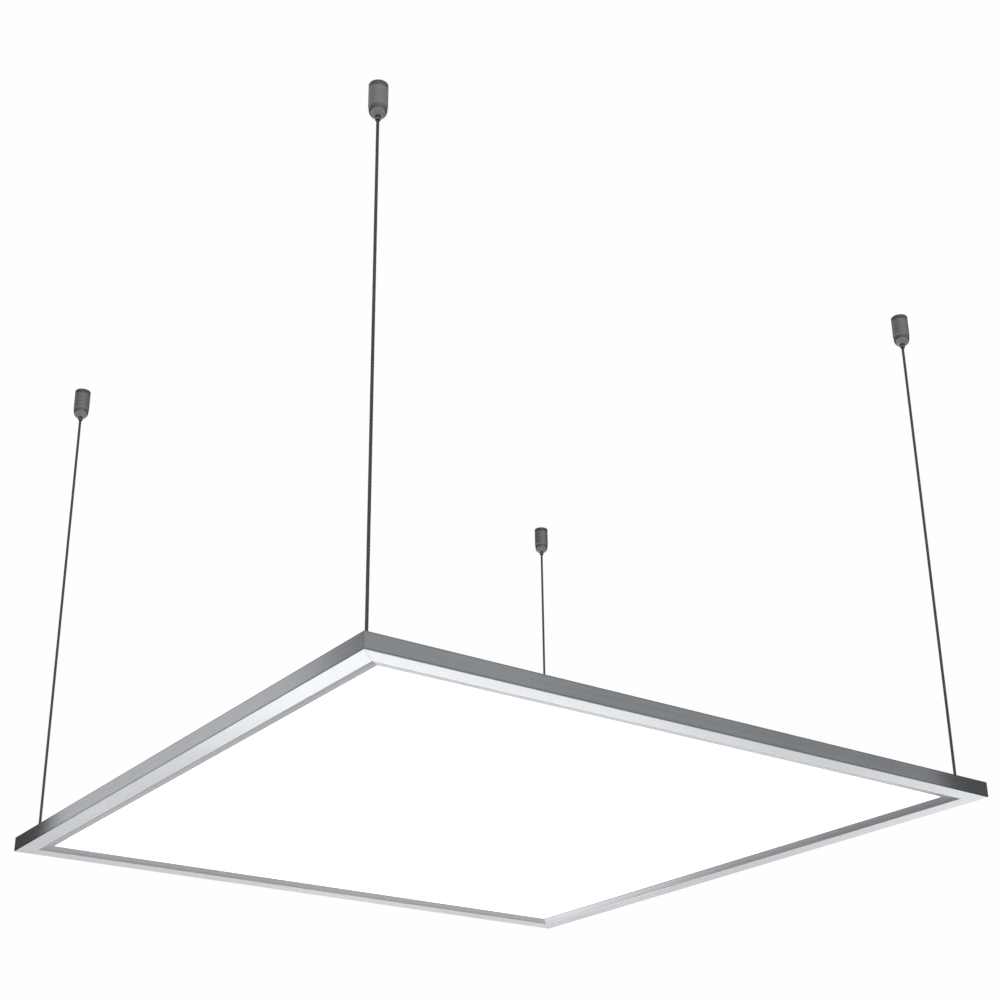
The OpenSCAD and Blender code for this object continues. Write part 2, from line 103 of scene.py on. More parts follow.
MIX_A, MIX_B, MIX_RESULT = 6, 7, 2  # the colour sockets of a Mix node
ZONE_EDGE = 0.0003  # half the width of the edge of a darkened zone, in metres: painted shade, on the gripper's collar partly its own darker finish


def add(tree, kind, inputs=(), **settings):
    """A node of a kind, with its settings, and its inputs set to values or linked to sockets."""
    made = tree.nodes.new(kind)
    for key, value in settings.items():
        setattr(made, key, value)
    for key, value in dict(inputs).items():
        if isinstance(value, bpy.types.NodeSocket):
            tree.links.new(value, made.inputs[key])
        else:
            made.inputs[key].default_value = value
    return made


def coordinates(tree, kind):
    """One of the texture coordinates. A new piece's V is in metres, along its length or its profile."""
    return add(tree, "ShaderNodeTexCoord").outputs[kind]


def place(tree, scale=(1, 1, 1), kind="Object"):
    """Scaled coordinates."""
    return add(tree, "ShaderNodeMapping",
               {"Vector": coordinates(tree, kind), "Scale": scale}).outputs["Vector"]


def axis_of(tree, vector, axis):
    """One coordinate of a vector."""
    return add(tree, "ShaderNodeSeparateXYZ", {"Vector": vector}).outputs[axis]


def noise(tree, vector, scale, detail=3.0, rough=0.55):
    """A noise texture's value."""
    return add(tree, "ShaderNodeTexNoise",
               {"Vector": vector, "Scale": scale, "Detail": detail, "Roughness": rough}).outputs["Fac"]


def ranged(tree, value, low, high, new_low, new_high):
    """The value moved from one range to another, and kept inside it."""
    return add(tree, "ShaderNodeMapRange", {"Value": value, "From Min": low, "From Max": high,
                                            "To Min": new_low, "To Max": new_high}).outputs["Result"]


def maths(tree, operation, first, second=0.0):
    """A sum, product or other operation on numbers or sockets."""
    return add(tree, "ShaderNodeMath", {0: first, 1: second}, operation=operation).outputs[0]


def vector_maths(tree, operation, *inputs):
    """The outputs of an operation on vectors."""
    return add(tree, "ShaderNodeVectorMath", dict(enumerate(inputs)), operation=operation).outputs


def blended(tree, *parts):
    """The sum of noise values, each a pair of value and share."""
    total = None
    for value, share in parts:
        term = maths(tree, "MULTIPLY", value, share)
        total = term if total is None else maths(tree, "ADD", total, term)
    return total


def as_colour(value):
    """A socket as it is, or a colour with its alpha."""
    return value if isinstance(value, bpy.types.NodeSocket) else (*value, 1)


def mixed(tree, factor, first, second):
    """Two colours, or colour sockets, mixed by a factor."""
    return add(tree, "ShaderNodeMix",
               {"Factor": factor, MIX_A: as_colour(first), MIX_B: as_colour(second)},
               data_type="RGBA").outputs[MIX_RESULT]


def deepened(tree, color, kept):
    """The colour times the share of it that is kept."""
    return add(tree, "ShaderNodeMix", {"Factor": 1.0, MIX_A: color, MIX_B: (kept, kept, kept, 1)},
               data_type="RGBA", blend_type="MULTIPLY").outputs[MIX_RESULT]


def band(tree, value, low, high, soft):
    """1 between low and high, 0 outside, with soft edges."""
    rise = ranged(tree, value, low - soft, low + soft, 0.0, 1.0)
    fall = ranged(tree, value, high - soft, high + soft, 1.0, 0.0)
    return maths(tree, "MULTIPLY", rise, fall)


def bump(tree, height, distance, under=None):
    """The normal of a bumpy surface, over another bump where one is given."""
    inputs = {"Height": height, "Distance": distance, "Strength": 1.0}
    if under is not None:
        inputs["Normal"] = under
    return add(tree, "ShaderNodeBump", inputs).outputs["Normal"]


def shader(name, **fixed):
    """A principled material with its tree and shader. Fixed values sit on the shader's own sockets."""
    material = bpy.data.materials.new(name)
    material.use_nodes = True
    bsdf = material.node_tree.nodes["Principled BSDF"]
    for key, value in fixed.items():
        bsdf.inputs[key.replace("_", " ")].default_value = value
    return material, material.node_tree, bsdf


def drive(tree, bsdf, **sockets):
    """Links sockets to the shader's inputs, with _ for the spaces in their names."""
    for key, socket in sockets.items():
        tree.links.new(socket, bsdf.inputs[key.replace("_", " ")])


# ---- materials ----

def plain_surface(name, dark, light, rough, grain_scale, grain_depth, mottle=14.0, **fixed):
    """Mottled colour, uneven gloss and a fine grain, in object space."""
    material, tree, bsdf = shader(name, **fixed)
    at = place(tree)
    broad = noise(tree, at, mottle, 4)
    fine = noise(tree, at, grain_scale, 2)
    both = blended(tree, (broad, 0.7), (fine, 0.3))
    drive(tree, bsdf, Base_Color=mixed(tree, ranged(tree, both, 0.35, 0.65, 0, 1), dark, light),
          Roughness=ranged(tree, both, 0.3, 0.7, *rough), Normal=bump(tree, fine, grain_depth))
    return material


def turned_metal(name, dark, light, rough, tone_and_shade_zones=()):
    """Fine turning lines round the axis. The mesh's V runs along the profile.
    Each zone of height, (low, high, share of the colour kept), is darkened: painted shade for darker
    reflections, on the collar partly its own darker finish."""
    material, tree, bsdf = shader(name, Metallic=1.0)
    lines = noise(tree, place(tree, (30, 5200, 1), "UV"), 1.0, 2)
    broad = noise(tree, place(tree, (60, 420, 1), "UV"), 1.0, 3)
    grime = noise(tree, place(tree), 260, 4)
    tone = blended(tree, (lines, 0.45), (broad, 0.55))
    wear = blended(tree, (grime, 0.6), (lines, 0.4))
    color = mixed(tree, ranged(tree, tone, 0.35, 0.65, 0, 1), dark, light)
    height = axis_of(tree, coordinates(tree, "Object"), "Z")
    # Painted shade: each zone's colour is darkened to stand in for darker reflections.
    for low, high, kept in tone_and_shade_zones:
        color = mixed(tree, band(tree, height, low, high, ZONE_EDGE), color, deepened(tree, color, kept))
    drive(tree, bsdf, Base_Color=color, Roughness=ranged(tree, wear, 0.35, 0.65, *rough),
          Normal=bump(tree, lines, 0.000012))
    return material


def extruded_aluminium(name, dark, light, rough, shade_bands):
    """Satin anodised extrusion with faint die lines. U is the length and V the way round the section.
    Each band of V, (low, high, softness, shares of the colour kept at low and at high), is painted shade."""
    material, tree, bsdf = shader(name, Metallic=1.0)
    around = axis_of(tree, coordinates(tree, "UV"), "Y")
    lines = noise(tree, place(tree, (2.5, 2600, 1), "UV"), 1.0, 3)
    wide_lines = noise(tree, place(tree, (1.2, 340, 1), "UV"), 1.0, 2)
    satin = noise(tree, place(tree), 2400, 2)
    cloud = noise(tree, place(tree), 9, 4)
    tone = blended(tree, (lines, 0.35), (wide_lines, 0.25), (cloud, 0.4))
    color = mixed(tree, ranged(tree, tone, 0.38, 0.62, 0, 1), dark, light)
    # Painted shade: each band darkens the colour, standing in for darker reflections on the lip and shadow
    # lines along the edges.
    for low, high, soft, (low_share, high_share) in shade_bands:
        shaded_color = mixed(tree, ranged(tree, around, low, high, 0, 1),
                       deepened(tree, color, low_share), deepened(tree, color, high_share))
        color = mixed(tree, band(tree, around, low, high, soft), color, shaded_color)
    drive(tree, bsdf, Base_Color=color, Roughness=ranged(tree, tone, 0.35, 0.65, *rough),
          Normal=bump(tree, satin, 0.000003, bump(tree, lines, 0.000004)))
    return material


def wire_rope_steel(name, dark, light, lay, lines_round=30):
    """Single wires of each strand, which run along the rope, with painted shade in the lines between them."""
    material, tree, bsdf = shader(name, Metallic=1.0)
    uv = coordinates(tree, "UV")
    turn = maths(tree, "ADD", axis_of(tree, uv, "X"), maths(tree, "DIVIDE", axis_of(tree, uv, "Y"), lay))
    wave = maths(tree, "SINE", maths(tree, "MULTIPLY", turn, math.tau * lines_round))
    height = ranged(tree, wave, -1, 1, 0, 1)
    grime = noise(tree, place(tree, (1, 1, 0.15)), 900, 3)
    # Painted shade: the creases between the wires are darkened, and the colour also varies with patches of
    # grime.
    groove = maths(tree, "MULTIPLY", height, ranged(tree, grime, 0.3, 0.7, 0.6, 1))
    drive(tree, bsdf, Base_Color=mixed(tree, groove, dark, light),
          Roughness=ranged(tree, grime, 0.3, 0.7, 0.28, 0.45), Normal=bump(tree, height, 0.00005))
    return material


def powder_coat(name, dark, light):
    """White powder coat with its fine orange peel, and faint marks."""
    material, tree, bsdf = shader(name, Specular_IOR_Level=0.5)
    at = place(tree)
    peel = noise(tree, at, 850, 2, 0.4)
    dust = noise(tree, at, 5, 5, 0.7)
    drive(tree, bsdf, Base_Color=mixed(tree, ranged(tree, dust, 0.35, 0.65, 0, 1), dark, light),
          Roughness=ranged(tree, dust, 0.3, 0.7, 0.38, 0.5), Normal=bump(tree, peel, 0.00006))
    return material


def opal_lit(name, strength):
    """Lit opal sheet: a fine frosted face that glows, a little less in faint cloudy patches."""
    material, tree, bsdf = shader(name, Roughness=0.5, Emission_Strength=strength)
    at = place(tree)
    frost = noise(tree, at, 1800, 2)
    cloud = noise(tree, at, 6, 2)
    glow = mixed(tree, ranged(tree, cloud, 0.3, 0.7, 0, 1), (0.985, 0.99, 1.0), (1.0, 1.0, 1.0))
    drive(tree, bsdf, Base_Color=mixed(tree, frost, (0.9, 0.9, 0.9), (0.95, 0.95, 0.95)),
          Emission_Color=glow, Normal=bump(tree, frost, 0.00002))
    return material


def printed_board(name, dark, light, track):
    """Solder mask with straight copper tracks under it."""
    material, tree, bsdf = shader(name, Roughness=0.35)
    at = place(tree)
    cells = add(tree, "ShaderNodeTexVoronoi", {"Vector": at, "Scale": 210.0, "Randomness": 0.35},
                distance="CHEBYCHEV").outputs["Distance"]
    tracks = ranged(tree, cells, 0.52, 0.56, 0, 1)
    mask = mixed(tree, noise(tree, at, 60), dark, light)
    drive(tree, bsdf, Base_Color=mixed(tree, tracks, mask, track), Normal=bump(tree, tracks, 0.00003))
    return material


# Heights in metres of the gripper's darkened parts: its collar down to the upper groove, partly its own
# darker finish and partly painted shade, and its nose, painted shade for a darker reflection.
GRIPPER_COLLAR_TONE_AND_SHADE = (-0.00415, 0.001)
GRIPPER_NOSE_SHADE = (-0.03, -0.0206)
ROPE_LAY = 15.0  # one turn of the rope's strands, in millimetres
DIFFUSER_GLOW = 1.03

# Each plain surface: darker and lighter colour, least and most roughness, grain's scale and depth,
# and any other settings.
PLAIN_SURFACES = {
    "spring_steel": ((0.50, 0.50, 0.51), (0.66, 0.66, 0.68), (0.2, 0.35), 1800, 5e-6,
                     {"Metallic": 1.0}),
    "brass_parts": ((0.62, 0.48, 0.24), (0.78, 0.64, 0.36), (0.22, 0.4), 1500, 8e-6,
                    {"Metallic": 1.0}),
    "frame_aluminium": ((0.66, 0.68, 0.70), (0.78, 0.80, 0.82), (0.3, 0.42), 2200, 1e-5,
                        {"Metallic": 1.0}),
    "key_zinc": ((0.45, 0.46, 0.48), (0.60, 0.61, 0.63), (0.4, 0.6), 900, 4e-5,
                 {"Metallic": 1.0}),
    "screw_steel": ((0.58, 0.58, 0.57), (0.74, 0.75, 0.78), (0.22, 0.4), 1500, 1e-5,
                    {"mottle": 160, "Metallic": 1.0}),
    "foam": ((0.70, 0.70, 0.69), (0.84, 0.84, 0.83), (0.85, 0.98), 1100, 2e-4, {}),
    "reflector_film": ((0.90, 0.90, 0.90), (0.95, 0.95, 0.95), (0.35, 0.5), 2500, 1e-5, {}),
    "guide_acrylic": ((0.90, 0.94, 0.95), (0.95, 0.97, 0.98), (0.05, 0.15), 500, 1e-5,
                      {"Transmission_Weight": 0.6, "IOR": 1.49}),
    "led_board": ((0.84, 0.84, 0.80), (0.92, 0.92, 0.88), (0.35, 0.5), 900, 1e-5, {}),
    "led_emitter": ((0.85, 0.72, 0.30), (0.96, 0.86, 0.45), (0.3, 0.5), 1600, 2e-5, {}),
    "lead_insulation": ((0.50, 0.08, 0.07), (0.62, 0.12, 0.10), (0.35, 0.5), 1400, 1e-5, {}),
    "grommet_rubber": ((0.035, 0.035, 0.036), (0.06, 0.06, 0.062), (0.6, 0.8), 1500, 2e-5, {}),
    "lead_jacket": ((0.66, 0.66, 0.65), (0.74, 0.74, 0.73), (0.4, 0.55), 1300, 3e-5,
                    {"mottle": 90}),
    "driver_plastic": ((0.60, 0.60, 0.59), (0.66, 0.66, 0.65), (0.38, 0.50), 1500, 4e-5,
                       {"mottle": 25}),
    "coil_tape": ((0.62, 0.46, 0.10), (0.76, 0.58, 0.16), (0.2, 0.35), 700, 3e-5, {}),
    "capacitor_sleeve": ((0.03, 0.04, 0.07), (0.06, 0.08, 0.13), (0.2, 0.35), 900, 2e-5, {}),
    "terminal_plastic": ((0.74, 0.73, 0.66), (0.82, 0.81, 0.74), (0.35, 0.5), 1300, 3e-5, {}),
}
MATERIALS = {
    # The collar zone is partly its own darker finish and partly painted shade; the nose zone is painted
    # shade.
    "gripper_metal": turned_metal("gripper_metal", (0.33, 0.334, 0.342), (0.39, 0.394, 0.402),
                                  (0.24, 0.34), [(*GRIPPER_COLLAR_TONE_AND_SHADE, 0.55), (*GRIPPER_NOSE_SHADE, 0.78)]),
    "nozzle_metal": turned_metal("nozzle_metal", (0.20, 0.20, 0.21), (0.30, 0.30, 0.31), (0.24, 0.36)),
    "wire_rope": wire_rope_steel("wire_rope", (0.07, 0.07, 0.07), (0.34, 0.34, 0.345), ROPE_LAY * MM),
    "back_plate_paint": powder_coat("back_plate_paint", (0.80, 0.80, 0.79), (0.86, 0.86, 0.855)),
    "diffuser_opal": opal_lit("diffuser_opal", DIFFUSER_GLOW),
    "circuit_board": printed_board("circuit_board", (0.03, 0.16, 0.08), (0.05, 0.22, 0.11),
                                   (0.12, 0.36, 0.18)),
}
for slot, (*surface, settings) in PLAIN_SURFACES.items():
    MATERIALS[slot] = plain_surface(slot, *surface, **settings)


# ---- mesh helpers ----

LATHE_ROUND = 0.04  # U once round a turned piece


def fixing(corner):
    """Place of a corner's ceiling fixing on the plan, in millimetres."""
    low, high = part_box(f"gripper_barrel_{corner}")
    return (low.x + high.x) / 2 / MM, (low.y + high.y) / 2 / MM


def ends_of(node):
    """Lowest and highest point of a node, in millimetres."""
    low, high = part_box(node)
    return low.z / MM, high.z / MM


def even_shading(piece):
    """Lets the large faces keep their own normals, so that only the rounded edges shade round."""
    piece.modifiers.new("even_shading", "WEIGHTED_NORMAL").keep_sharp = True


def new_piece(name, points, faces, uvs, body, slot, replaced, sharp=32, look=None):
    """A mesh piece from points in millimetres, which rides on a body and stands for CAD nodes.
    Edges over the sharp angle, in degrees, aren't shaded round."""
    mesh = bpy.data.meshes.new(name)
    mesh.from_pydata([Vector(p) * MM for p in points], [], faces)
    layer = mesh.uv_layers.new(name="UVMap")
    layer.uv.foreach_set("vector", [value for uv in uvs for value in uv])
    shape = bmesh.new()
    shape.from_mesh(mesh)
    bmesh.ops.recalc_face_normals(shape, faces=shape.faces)
    shape.to_mesh(mesh)
    shape.free()
    mesh.polygons.foreach_set("use_smooth", [True] * len(mesh.polygons))
    mesh.set_sharp_from_angle(angle=math.radians(sharp))
    piece = bpy.data.objects.new(name, mesh)
    bpy.context.scene.collection.objects.link(piece)
    mesh.materials.append(look or MATERIALS[slot])
    even_shading(piece)
    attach(piece, body)
    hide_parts(*replaced)
    return piece


def lengths_along(points):
    """Distance of each point from the first, along the line through them."""
    run = [0.0]
    for a, b in zip(points, points[1:]):
        run.append(run[-1] + math.dist(a, b))
    return run


def grid_cells(rows, columns, close_rows=False):
    """Cells of a grid that closes on itself across its columns, and perhaps across its rows."""
    return [[(i, j), (i, j + 1), (i + 1, j + 1), (i + 1, j)]
            for i in range(rows if close_rows else rows - 1) for j in range(columns)]


def tube(rows, columns, run):
    """Faces and UVs of a tube with closed ends, from rows of points. Run is each row's way along it."""
    faces, uvs = [], []
    for cell in grid_cells(rows, columns):
        faces.append([r * columns + c % columns for r, c in cell])
        uvs += [(c / columns, run[r] * MM) for r, c in cell]
    faces.append(list(range(columns))[::-1])
    faces.append([(rows - 1) * columns + j for j in range(columns)])
    uvs += [(j / columns, 0) for j in range(columns)] * 2
    return faces, uvs


def lathe(profile, columns, centre, out):
    """Adds a closed profile of (radius, height), turned round an upright axis, to points, faces and uvs."""
    points, faces, uvs = out
    first, rows = len(points), len(profile)
    run = lengths_along([*profile, profile[0]])
    for radius, z in profile:
        for j in range(columns):
            a = math.tau * j / columns
            points.append((centre[0] + radius * math.cos(a), centre[1] + radius * math.sin(a), z))
    for cell in grid_cells(rows, columns, close_rows=True):
        faces.append([first + (r % rows) * columns + c % columns for r, c in cell])
        uvs += [(c / columns * LATHE_ROUND, run[r] * MM) for r, c in cell]


def arc(centre, radius, start, end, steps):
    """Points of an arc in a plane, its angles in degrees."""
    return [(centre[0] + radius * math.cos(math.radians(start + (end - start) * i / steps)),
             centre[1] + radius * math.sin(math.radians(start + (end - start) * i / steps)))
            for i in range(steps + 1)]


# ---- suspension wires ----

ROPE_R = 1.25
ROPE_STEP = 1.15  # distance between the rows of points
ROPE_SHARP = 70
STRANDS = 6
STRAND_ARC = (-105, -70, -35, 0, 35, 70, 105)  # the part of a strand's outline that shows, in degrees
WIRE_LOW, WIRE_HIGH = ends_of("suspension_wire_front_left")


def rope_section():
    """Outline of round strands about a core, as (radius, angle)."""
    centre, strand = ROPE_R * 2 / 3, ROPE_R / 3
    outline = []
    for lobe in range(STRANDS):
        for t in STRAND_ARC:
            x = centre + strand * math.cos(math.radians(t))
            y = strand * math.sin(math.radians(t))
            outline.append((math.hypot(x, y), math.atan2(y, x) + lobe * math.tau / STRANDS))
    return outline


def make_rope(corner):
    """A twisted wire rope in place of a corner's plain round wire."""
    x, y = fixing(corner)
    section = rope_section()
    rows = round((WIRE_HIGH - WIRE_LOW) / ROPE_STEP) + 1
    heights = [WIRE_LOW + (WIRE_HIGH - WIRE_LOW) * i / (rows - 1) for i in range(rows)]
    run = [z - WIRE_LOW for z in heights]
    points = []
    for z, way in zip(heights, run):
        turned = math.tau * way / ROPE_LAY
        points += [(x + r * math.cos(a + turned), y + r * math.sin(a + turned), z) for r, a in section]
    faces, uvs = tube(rows, len(section), run)
    rope = new_piece(f"wire_rope_{corner}", points, faces, uvs, "panel", "wire_rope",
                     [f"suspension_wire_{corner}"], sharp=ROPE_SHARP)


for corner in CORNERS:
    make_rope(corner)


# ---- ceiling grippers ----

BARREL_R = 7.5
BARREL_COLUMNS = 72
GROOVE_R = 7.12
NOSE_TOP, NOSE_LOW = -22, -29
NOSE_END_R = 3.0
NOSE_ANGLE = 76  # degrees of the round nose, down to its nozzle
NOSE_STEP = 4
THREAD_R, THREAD_DEPTH, THREAD_HALF_PITCH = 4.46, 0.42, 0.5
THREAD_LOW, THREAD_POINTS = -7.75, 15
NOZZLE_COLUMNS = 40
NOZZLE_BORE_R = 1.55
NOZZLE_TOP = -20.8


def nose_point(angle):
    """A point of the round nose, which starts at the groove above it and swells to the barrel's width."""
    turned = math.radians(angle)
    last = math.radians(NOSE_ANGLE)
    inward = (BARREL_R - NOSE_END_R) * (1 - math.cos(turned)) / (1 - math.cos(last))
    groove = (BARREL_R - GROOVE_R) * (1 - angle / NOSE_ANGLE)
    return BARREL_R - inward - groove, NOSE_TOP + (NOSE_LOW - NOSE_TOP) * math.sin(turned) / math.sin(last)


def barrel_profile():
    """Closed outline from the socket's mouth, out over the top, down the barrel and back up inside."""
    top = [(4.9, 0), *arc((7.1, -0.4), 0.4, 90, 0, 4)]
    collar = [(BARREL_R, -3.9), (7.32, -4.05), (7.32, -4.25), (BARREL_R, -4.4)]
    groove = [(BARREL_R, -19.9), (7.42, -20.15), (GROOVE_R, -20.45), (GROOVE_R, -21.6)]
    nose = [nose_point(angle) for angle in range(0, NOSE_ANGLE + 1, NOSE_STEP)]
    inside = [(2.9, NOSE_LOW), (2.55, NOSE_LOW), (2.4, -28.85), (2.4, -28), (4.2, -21), (4.2, -8.05),
              (4.44, -8)]
    thread = [(THREAD_R + THREAD_DEPTH * (i % 2), THREAD_LOW + THREAD_HALF_PITCH * i)
              for i in range(THREAD_POINTS)]
    return [*top, *collar, *groove, *nose, *inside, *thread]


def nozzle_profile():
    """Closed outline of the nozzle, from its rounded tip up outside to its flange, and down the bore."""
    tip = [(NOZZLE_BORE_R, -31.8), (1.75, -32), *arc((1.85, -31.6), 0.4, -90, 0, 4)]
    flange = [(2.25, -25.5), (2.8, -25.5), (2.8, -21.8), (3.7, -21.8), (3.7, NOZZLE_TOP)]
    return [*tip, *flange, (NOZZLE_BORE_R, NOZZLE_TOP)]


def turned_piece(name, profile, columns, corners, body, slot, replaced):
    """One piece of the same profile turned at each of some corners."""
    shape = ([], [], [])
    for corner in corners:
        lathe(profile, columns, fixing(corner), shape)
    new_piece(name, *shape, body, slot, replaced)


for corner in CORNERS:
    turned_piece(f"gripper_shell_{corner}", barrel_profile()[::-1], BARREL_COLUMNS, [corner],
                 "ceiling_grippers", "gripper_metal", [f"gripper_barrel_{corner}"])
    turned_piece(f"nozzle_sleeve_{corner}", nozzle_profile(), NOZZLE_COLUMNS, [corner],
                 f"release_nozzle_{corner}", "nozzle_metal", [f"release_nozzle_{corner}"])


# ---- clutch springs inside the grippers ----

SPRING_R = 3.2
SPRING_WIRE_R = 0.3
SPRING_TURNS = 5
SPRING_END_PITCH = 0.75
SPRING_STEPS = 32  # rows of points in a turn
SPRING_COLUMNS = 12


def coil_height(turn, height):
    """How far up the coil's wire is after some turns, with a close turn at each end."""
    steep = (height - 2 * SPRING_WIRE_R - 2 * SPRING_END_PITCH) / (SPRING_TURNS - 2)
    start, end = min(turn, 1), max(turn - (SPRING_TURNS - 1), 0)
    return SPRING_WIRE_R + SPRING_END_PITCH * (start + end) + steep * (turn - start - end)


def make_spring(corner):
    """A coil in place of a corner's clutch spring, between the CAD spring's ends. The real spring is squashed
    as its nozzle is pushed in; this coil is built at one length.
    """
    low, high = ends_of(f"clutch_spring_{corner}")
    x, y = fixing(corner)
    rows = SPRING_TURNS * SPRING_STEPS + 1
    points = []
    for i in range(rows):
        around = math.tau * i / SPRING_STEPS
        z = low + coil_height(i / SPRING_STEPS, high - low)
        for j in range(SPRING_COLUMNS):
            a = math.tau * j / SPRING_COLUMNS
            radius = SPRING_R + SPRING_WIRE_R * math.cos(a)
            points.append((x + radius * math.cos(around), y - radius * math.sin(around),
                           z + SPRING_WIRE_R * math.sin(a)))
    faces, uvs = tube(rows, SPRING_COLUMNS,
                      [i / SPRING_STEPS * math.tau * SPRING_R for i in range(rows)])
    coil = new_piece(f"clutch_coil_{corner}", points, faces, uvs, "ceiling_grippers", "spring_steel",
                     [f"clutch_spring_{corner}"])
    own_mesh(coil)


for corner in CORNERS:
    make_spring(corner)


# ---- crimped studs at the wires' feet ----

STUD_COLUMNS = 32
STUD_LOW, STUD_SHOULDER, STUD_TOP = -458, -450, -442
STUD_R, STUD_CRIMP_R, STUD_CORE_R = 2.5, 2.2, 0.01
STUD_THREAD_R, STUD_THREAD_DEPTH, STUD_HALF_PITCH = 1.95, 0.28, 0.35
STUD_THREAD_LOW, STUD_THREAD_POINTS = -457.9, 22
STUD_HOLE_LOW = -447
CRIMP_HEIGHTS = (-447.6, -444.8)


def stud_profile():
    """Hollow above for the wire, with two crimped waists, and a threaded end below."""
    crimps = []
    for middle in CRIMP_HEIGHTS:
        crimps += [(STUD_R, middle - 1.0), (STUD_CRIMP_R, middle - 0.7), (STUD_CRIMP_R, middle + 0.7),
                   (STUD_R, middle + 1.0)]
    thread = [(STUD_THREAD_R - STUD_THREAD_DEPTH * (i % 2), STUD_THREAD_LOW + STUD_HALF_PITCH * i)
              for i in range(STUD_THREAD_POINTS)]
    return [(STUD_CORE_R, STUD_LOW), (1.6, STUD_LOW), *thread, (STUD_THREAD_R, STUD_SHOULDER),
            (STUD_R, -449.9), *crimps, (STUD_R, -442.6), (2.3, -442.1), (2.0, STUD_TOP), (1.3, STUD_TOP),
            (1.27, STUD_HOLE_LOW), (STUD_CORE_R, STUD_HOLE_LOW)]


turned_piece("crimped_studs", stud_profile(), STUD_COLUMNS, CORNERS, "panel", "nozzle_metal",
             ["wire_foot_studs"])


# ---- frame ----

HALF = 297.5
FRAME_Z0 = -462.8
MITRE_GAP = 0.1
LIP_START = (15.8, 0.075)
LIP_END = (25.9, 3.2)
LIP_SHADE_SHARES = (0.42, 0.60)  # painted shade: shares of the colour kept at the lip's start and end
EDGE_SHADE_SHARES = (0.62, 0.62)  # painted shade: shares of the colour kept at the outer face's edges
CHAMBER = [(1.4, 1.4), (1.4, 11.4), (16.6, 11.4), (16.6, 1.4)]


def frame_profile():
    """Section of the frame, x inward from the outer face and y up from the underside, its edges rounded.
    It runs from the outer face's low edge under the frame, up the lip and back over the top."""
    return [*arc((0.5, 0.5), 0.5, 180, 270, 5), (15.2, 0), (15.5, 0.02), LIP_START, (25.5, 2.19),
            *arc((25.6, 2.6), 0.4, -60, 0, 3), (26, 3.1), LIP_END, (18, 3.2), (18, 10.4), (23.85, 10.4),
            (24, 10.55), (24, 11.45), (23.85, 11.6), (18.8, 11.6), *arc((18.5, 12.5), 0.3, 0, 90, 3),
            *arc((0.5, 12.3), 0.5, 90, 180, 5)]


def painted_shade_bands(profile):
    """Painted shade on the sloped lip and along the outer face's two edges, as bands of V in metres."""
    run = [length * MM for length in lengths_along([*profile, profile[0]])]
    lip = (run[profile.index(LIP_START)], run[profile.index(LIP_END)])
    face_top, face_low = run[-2:]
    return [(*lip, ZONE_EDGE, LIP_SHADE_SHARES),
            (face_top - 0.001, face_top + 0.0004, ZONE_EDGE, EDGE_SHADE_SHARES),
            (face_low - 0.0006, face_low + 0.001, ZONE_EDGE, EDGE_SHADE_SHARES),
            (-0.001, 0.0006, 0.0002, EDGE_SHADE_SHARES)]


PROFILE = frame_profile()
# The bands paint shade on the frame's lip and along its outer edges.
EXTRUSION = extruded_aluminium("frame_extrusion", (0.62, 0.64, 0.67), (0.74, 0.76, 0.79), (0.20, 0.28),
                               painted_shade_bands(PROFILE))


def frame_side(name, turn):
    """One mitred side, drawn at the front and turned into place."""
    loops = (PROFILE, CHAMBER)
    points, faces, uvs = [], [], []
    for loop in loops:
        first, count = len(points), len(loop)
        around = lengths_along([*loop, loop[0]])
        for end in (-1, 1):
            points += [(end * (HALF - MITRE_GAP - d), d - HALF, FRAME_Z0 + v) for d, v in loop]
        for j in range(count):
            k = (j + 1) % count
            cell = [(0, j, j), (1, j, j), (1, k, j + 1), (0, k, j + 1)]
            faces.append([first + end * count + p for end, p, _ in cell])
            uvs += [((points[first + end * count + p][0] + HALF) * MM, around[r] * MM)
                    for end, p, r in cell]
    caps = geometry.tessellate_polygon([[Vector((d, v, 0)) for d, v in loop] for loop in loops])
    for end in (0, 1):
        index = [end * len(PROFILE) + j for j in range(len(PROFILE))]
        index += [2 * len(PROFILE) + end * len(CHAMBER) + j for j in range(len(CHAMBER))]
        for triangle in caps:
            faces.append([index[i] for i in (triangle if end else triangle[::-1])])
            uvs += [(points[index[i]][1] * MM, points[index[i]][2] * MM) for i in triangle]
    angle = math.radians(turn)
    turned = [(x * math.cos(angle) - y * math.sin(angle), x * math.sin(angle) + y * math.cos(angle), z)
              for x, y, z in points]
    new_piece(f"extrusion_{name}", turned, faces, uvs, "panel", "frame_aluminium", [f"frame_{name}"],
              look=EXTRUSION)


for name, turn in (("front", 0), ("right", 90), ("rear", 180), ("left", 270)):
    frame_side(name, turn)


# ---- CAD pieces that stay ----

# Widths of the rounded edges, in millimetres.
SOFT_EDGES = {"driver_base": 0.5, "driver_cover": 0.5, "terminal_cover": 0.5, "cord_clamp": 0.3,
              "lead_clips": 0.25, "terminal_block": 0.25, "back_plate": 0.3, "back_plate_screws": 0.12,
              "corner_screws": 0.12, "driver_screws": 0.12}


def soften_edges(node, width):
    """Joins the flat triangles into whole faces and rounds the edges between them."""
    node.modifiers.new("join", "WELD").merge_threshold = 1e-6
    flat = node.modifiers.new("whole_faces", "DECIMATE")
    flat.decimate_type = "DISSOLVE"
    flat.angle_limit = math.radians(1)
    edge = node.modifiers.new("soft_edges", "BEVEL")
    edge.width = width * MM
    edge.segments = 2
    edge.limit_method = "ANGLE"
    edge.angle_limit = math.radians(35)
    edge.use_clamp_overlap = True
    even_shading(node)


for name, node in nodes.items():
    node.data.materials.clear()
    node.data.materials.append(MATERIALS[SLOT_OF[name]])
    if name in SOFT_EDGES:
        soften_edges(node, SOFT_EDGES[name])


# ---- stage ----

